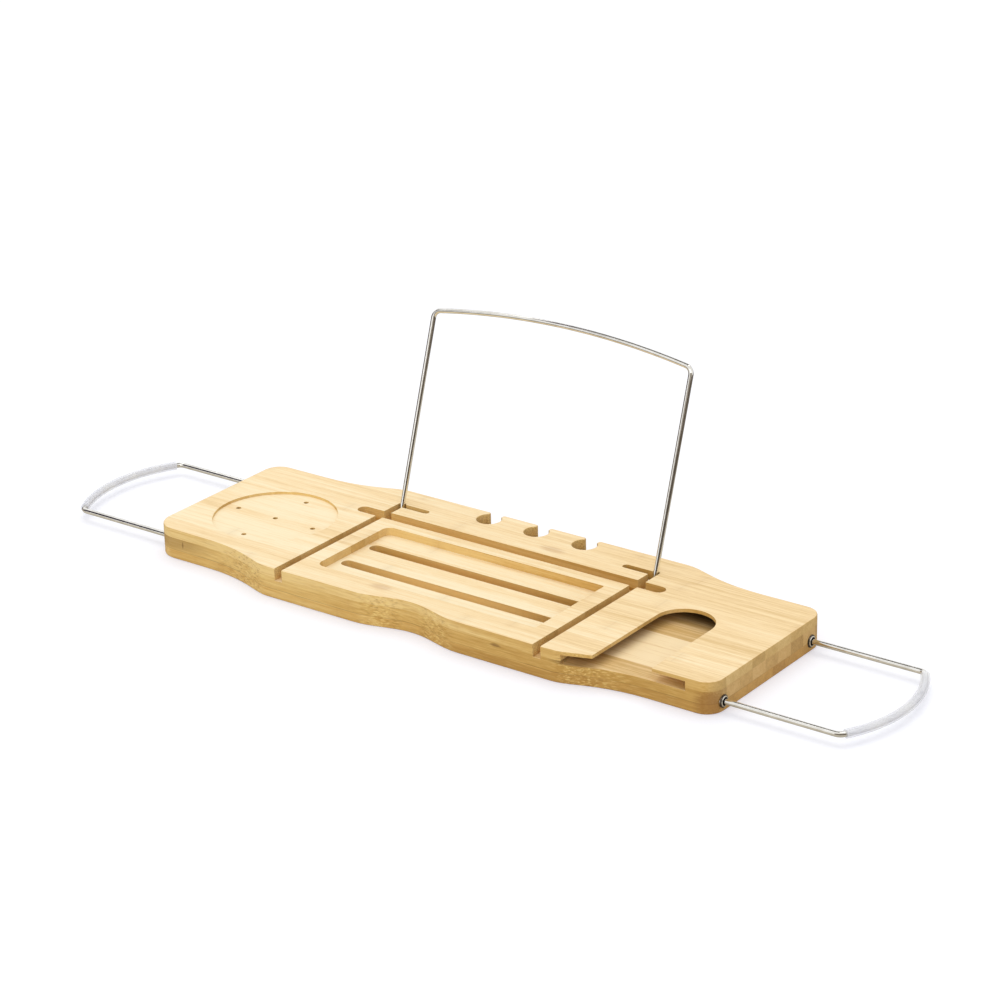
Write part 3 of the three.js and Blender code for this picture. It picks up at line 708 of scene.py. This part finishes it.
# Book stand. One chromed wire, 5 mm thick, is bent into a tall frame with a slightly bowed top. Its
# two feet point inward in the foot slots and are its hinge; it leans back against the slots' ends.
# Its radius here lies between the corners and the flats of the CAD's twelve-sided wire.
stand_radius = 2.46 * mm
stand_half_width = 148 * mm
stand_axis_y = 75.5 * mm + part_shift_y
stand_axis_z = 21.2 * mm
stand_lean = math.radians(18.3)
stand_height = 201.6 * mm
stand_bow_rise = 12.2 * mm
stand_top_bend = 8 * mm
stand_foot_bend = 6 * mm
stand_foot_end = 116.5 * mm
stand_leg_steps = 24
stand_foot_steps = 4

stand_apex = stand_height + stand_bow_rise
stand_bow_radius = (stand_half_width ** 2 + stand_bow_rise ** 2) / (2 * stand_bow_rise)
top_line = bow_line(stand_half_width, stand_apex, stand_bow_radius, stand_top_bend)[:, ::-1]
foot_centre = stand_half_width - stand_foot_bend
left_foot = arc(
    -foot_centre, stand_foot_bend, stand_foot_bend, 3 * quarter, 2 * quarter, bend_steps)
right_foot = arc(foot_centre, stand_foot_bend, stand_foot_bend, 0.0, -quarter, bend_steps)
stand_flat = np.vstack([
    spaced((-stand_foot_end, 0.0), left_foot[0], stand_foot_steps)[:-1], left_foot[:-1],
    spaced(left_foot[-1], top_line[0], stand_leg_steps)[:-1], top_line[:-1],
    spaced(top_line[-1], right_foot[0], stand_leg_steps)[:-1], right_foot[:-1],
    spaced(right_foot[-1], (stand_foot_end, 0.0), stand_foot_steps)])
stand_path = np.stack([
    stand_flat[:, 0], stand_axis_y + stand_flat[:, 1] * math.sin(stand_lean),
    stand_axis_z + stand_flat[:, 1] * math.cos(stand_lean)], 1)
stand_normal = (0, -math.cos(stand_lean), math.sin(stand_lean))
stand = swept_wire("book_stand_wire", stand_path, stand_normal, stand_radius, chrome_plate)
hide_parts("book_stand")
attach(stand, "stand")

# Studio. A wide white floor and an even white dome light the board, with one broad lamp from
# behind and one from the front. Six dark cards are seen only in the chrome, as black flags are.
camera_azimuth = math.radians(36.878)
camera_elevation = math.radians(22.562)
camera_roll = math.radians(-1.335)
camera_place = (1596.21 * mm, -2061.48 * mm, 1188.05 * mm)
camera_focus_px = 3092.59
image_px = 1000
sensor_mm = 36


def placed(thing, right_way, top_way, back_way, place):
    """Puts a camera or a lamp at a place, with its own x, y and z along the three unit vectors."""
    turned_to = np.eye(4)
    for column, values in enumerate((right_way, top_way, back_way, place)):
        turned_to[:3, column] = values
    thing.matrix_world = Matrix(turned_to.tolist())


back = np.array([math.sin(camera_azimuth) * math.cos(camera_elevation),
                 -math.cos(camera_azimuth) * math.cos(camera_elevation),
                 math.sin(camera_elevation)])
level = np.array([math.cos(camera_azimuth), math.sin(camera_azimuth), 0.0])
upward = np.cross(back, level)
right_hand = math.cos(camera_roll) * level + math.sin(camera_roll) * upward
top_hand = -math.sin(camera_roll) * level + math.cos(camera_roll) * upward
camera_data = bpy.data.cameras.new("photo_camera")
camera_data.sensor_width = sensor_mm
camera_data.lens = sensor_mm * camera_focus_px / image_px
camera = bpy.data.objects.new("photo_camera", camera_data)
bpy.context.scene.collection.objects.link(camera)
placed(camera, right_hand, top_hand, back, camera_place)
bpy.context.scene.camera = camera

floor_reach = 9.0
floor_drop = 0.15 * mm
sheet_reach = 0.5
sheet_fade = 0.1

# What the eye sees of the floor is part paint and part glow, as linear light: together they come to
# white where no shadow falls, and to a cool grey in a shadow.
floor_paint = (0.655, 0.665, 0.65, 1.0)
floor_glow = (0.96, 0.95, 1.1, 1.0)
floor_glow_strength = 0.395


def ray_kinds(tree, *names):
    """1 for rays of any of the named kinds, else 0: the greatest of their marks."""
    path = add(tree, "LightPath").outputs
    found = path[names[0]]
    for name in names[1:]:
        found = add(tree, "Math", {0: found, 1: path[name]}, operation="MAXIMUM")
    return found


def white_floor(tree):
    """Matt paper. Seen directly or through vinyl it is lifted a little, so that it is white with
    faint cool shadows. The metal mirrors it as a warm grey sheet, with a dark floor past its
    edge, which is at the sheet's reach from the middle."""
    paper = add(tree, "BsdfDiffuse", {"Color": linear("#E9E9EA")})
    place = add(tree, "TexCoord").outputs["Object"]
    far = add(tree, "VectorMath", {0: place}, operation="LENGTH").outputs["Value"]
    past_sheet = add(tree, "MapRange", {
        "Value": far, "From Min": sheet_reach, "From Max": sheet_reach + sheet_fade})
    seen = add(tree, "ValToRGB", {"Fac": past_sheet}, stops={0.0: "#CFC8BA", 1.0: "#6B6258"})
    table = add(tree, "BsdfDiffuse", {"Color": seen})
    lit = add(tree, "BsdfDiffuse", {"Color": floor_paint})
    glow = add(tree, "Emission", {"Color": floor_glow, "Strength": floor_glow_strength})
    lifted = add(tree, "AddShader", {0: lit, 1: glow})
    unseen = add(tree, "MixShader", {0: ray_kinds(tree, "Is Glossy Ray"), 1: paper, 2: table})
    return add(tree, "MixShader", {
        0: ray_kinds(tree, "Is Camera Ray", "Is Transmission Ray"), 1: unseen, 2: lifted})


floor_corners = np.array([(-1, -1, 0), (1, -1, 0), (1, 1, 0), (-1, 1, 0)]) * floor_reach
floor_corners[:, 2] = -floor_drop
one_quad = [[0, 1, 2, 3]]
white_paper = finish_material("white_paper_floor", white_floor)
floor = new_piece("studio_floor", floor_corners, one_quad, white_paper)

# Each card's name, colour and four corners, in metres.
flags = (
    ("left_flag", "#2C2130",
     ((-1.8, -1.7, 0.5), (-1.8, -0.3, 0.5), (-1.8, -0.3, 1.7), (-1.8, -1.7, 1.7))),
    ("low_left_flag", "#6A625C",
     ((-1.8, -1.5, 0.0), (-1.8, 0.6, 0.0), (-1.8, 0.6, 0.45), (-1.8, -1.5, 0.45))),
    ("overhead_flag", "#443F3A",
     ((-1.14, -0.1, 2.0), (0.2, -0.1, 2.0), (0.2, 1.7, 2.0), (-1.14, 1.7, 2.0))),
    ("violet_flag", "#4C3E52",
     ((-1.34, -1.3, 2.0), (-1.14, -1.3, 2.0), (-1.14, 1.7, 2.0), (-1.34, 1.7, 2.0))),
    ("low_front_flag", "#5A5148",
     ((0.0, -1.2, 0.0), (1.4, 0.0, 0.0), (1.4, 0.0, 0.3), (0.0, -1.2, 0.3))),
    ("front_flag", "#A59C91",
     ((0.0, -1.2, 0.3), (1.4, 0.0, 0.3), (1.4, 0.0, 0.7), (0.0, -1.2, 0.7))))


def unlit_card(colour):
    """A dark card of one plain colour, which only mirrors show."""
    def build(tree):
        return add(tree, "Emission", {"Color": linear(colour), "Strength": 1.0})
    return build


for flag_name, flag_colour, flag_corners in flags:
    flag = new_piece(flag_name, np.array(flag_corners), one_quad,
                     finish_material(f"{flag_name}_card", unlit_card(flag_colour)))
    flag.visible_camera = False
    flag.visible_diffuse = False
    flag.visible_shadow = False
    flag.visible_transmission = False

# The dome lights the board evenly, a little below white, and looks white itself.
dome_strength = 0.72
plain_white = (1.0, 1.0, 1.0, 1.0)
world = bpy.data.worlds.new("white_dome")
bpy.context.scene.world = world
world.use_nodes = True
dome = world.node_tree
dome.nodes.clear()
light = add(dome, "Background", {"Color": plain_white, "Strength": dome_strength})
white = add(dome, "Background", {"Color": plain_white, "Strength": 1.0})
either = add(dome, "MixShader", {
    0: ray_kinds(dome, "Is Camera Ray", "Is Glossy Ray", "Is Transmission Ray"),
    1: light, 2: white})
add(dome, "OutputWorld", {"Surface": either})

# Each lamp's name, its share of a level light, the way it shines from, and its width in degrees.
lamps = (("broad_lamp", 0.26, (-0.3, 0.35, 1.2), 50), ("front_fill", 0.24, (0.5, -0.9, 0.3), 70))
for lamp_name, lamp_share, lamp_way, lamp_width in lamps:
    lamp_from = np.array(lamp_way) / np.linalg.norm(lamp_way)
    lamp_data = bpy.data.lights.new(lamp_name, "SUN")
    lamp_data.energy = lamp_share * math.pi
    lamp_data.angle = math.radians(lamp_width)
    lamp = bpy.data.objects.new(lamp_name, lamp_data)
    lamp_aside = np.cross((0, 0, 1), lamp_from)
    lamp_aside /= np.linalg.norm(lamp_aside)
    placed(lamp, lamp_aside, np.cross(lamp_from, lamp_aside), lamp_from, (0, 0, 0))
    bpy.context.scene.collection.objects.link(lamp)

view = bpy.context.scene.view_settings
view.view_transform = "Standard"
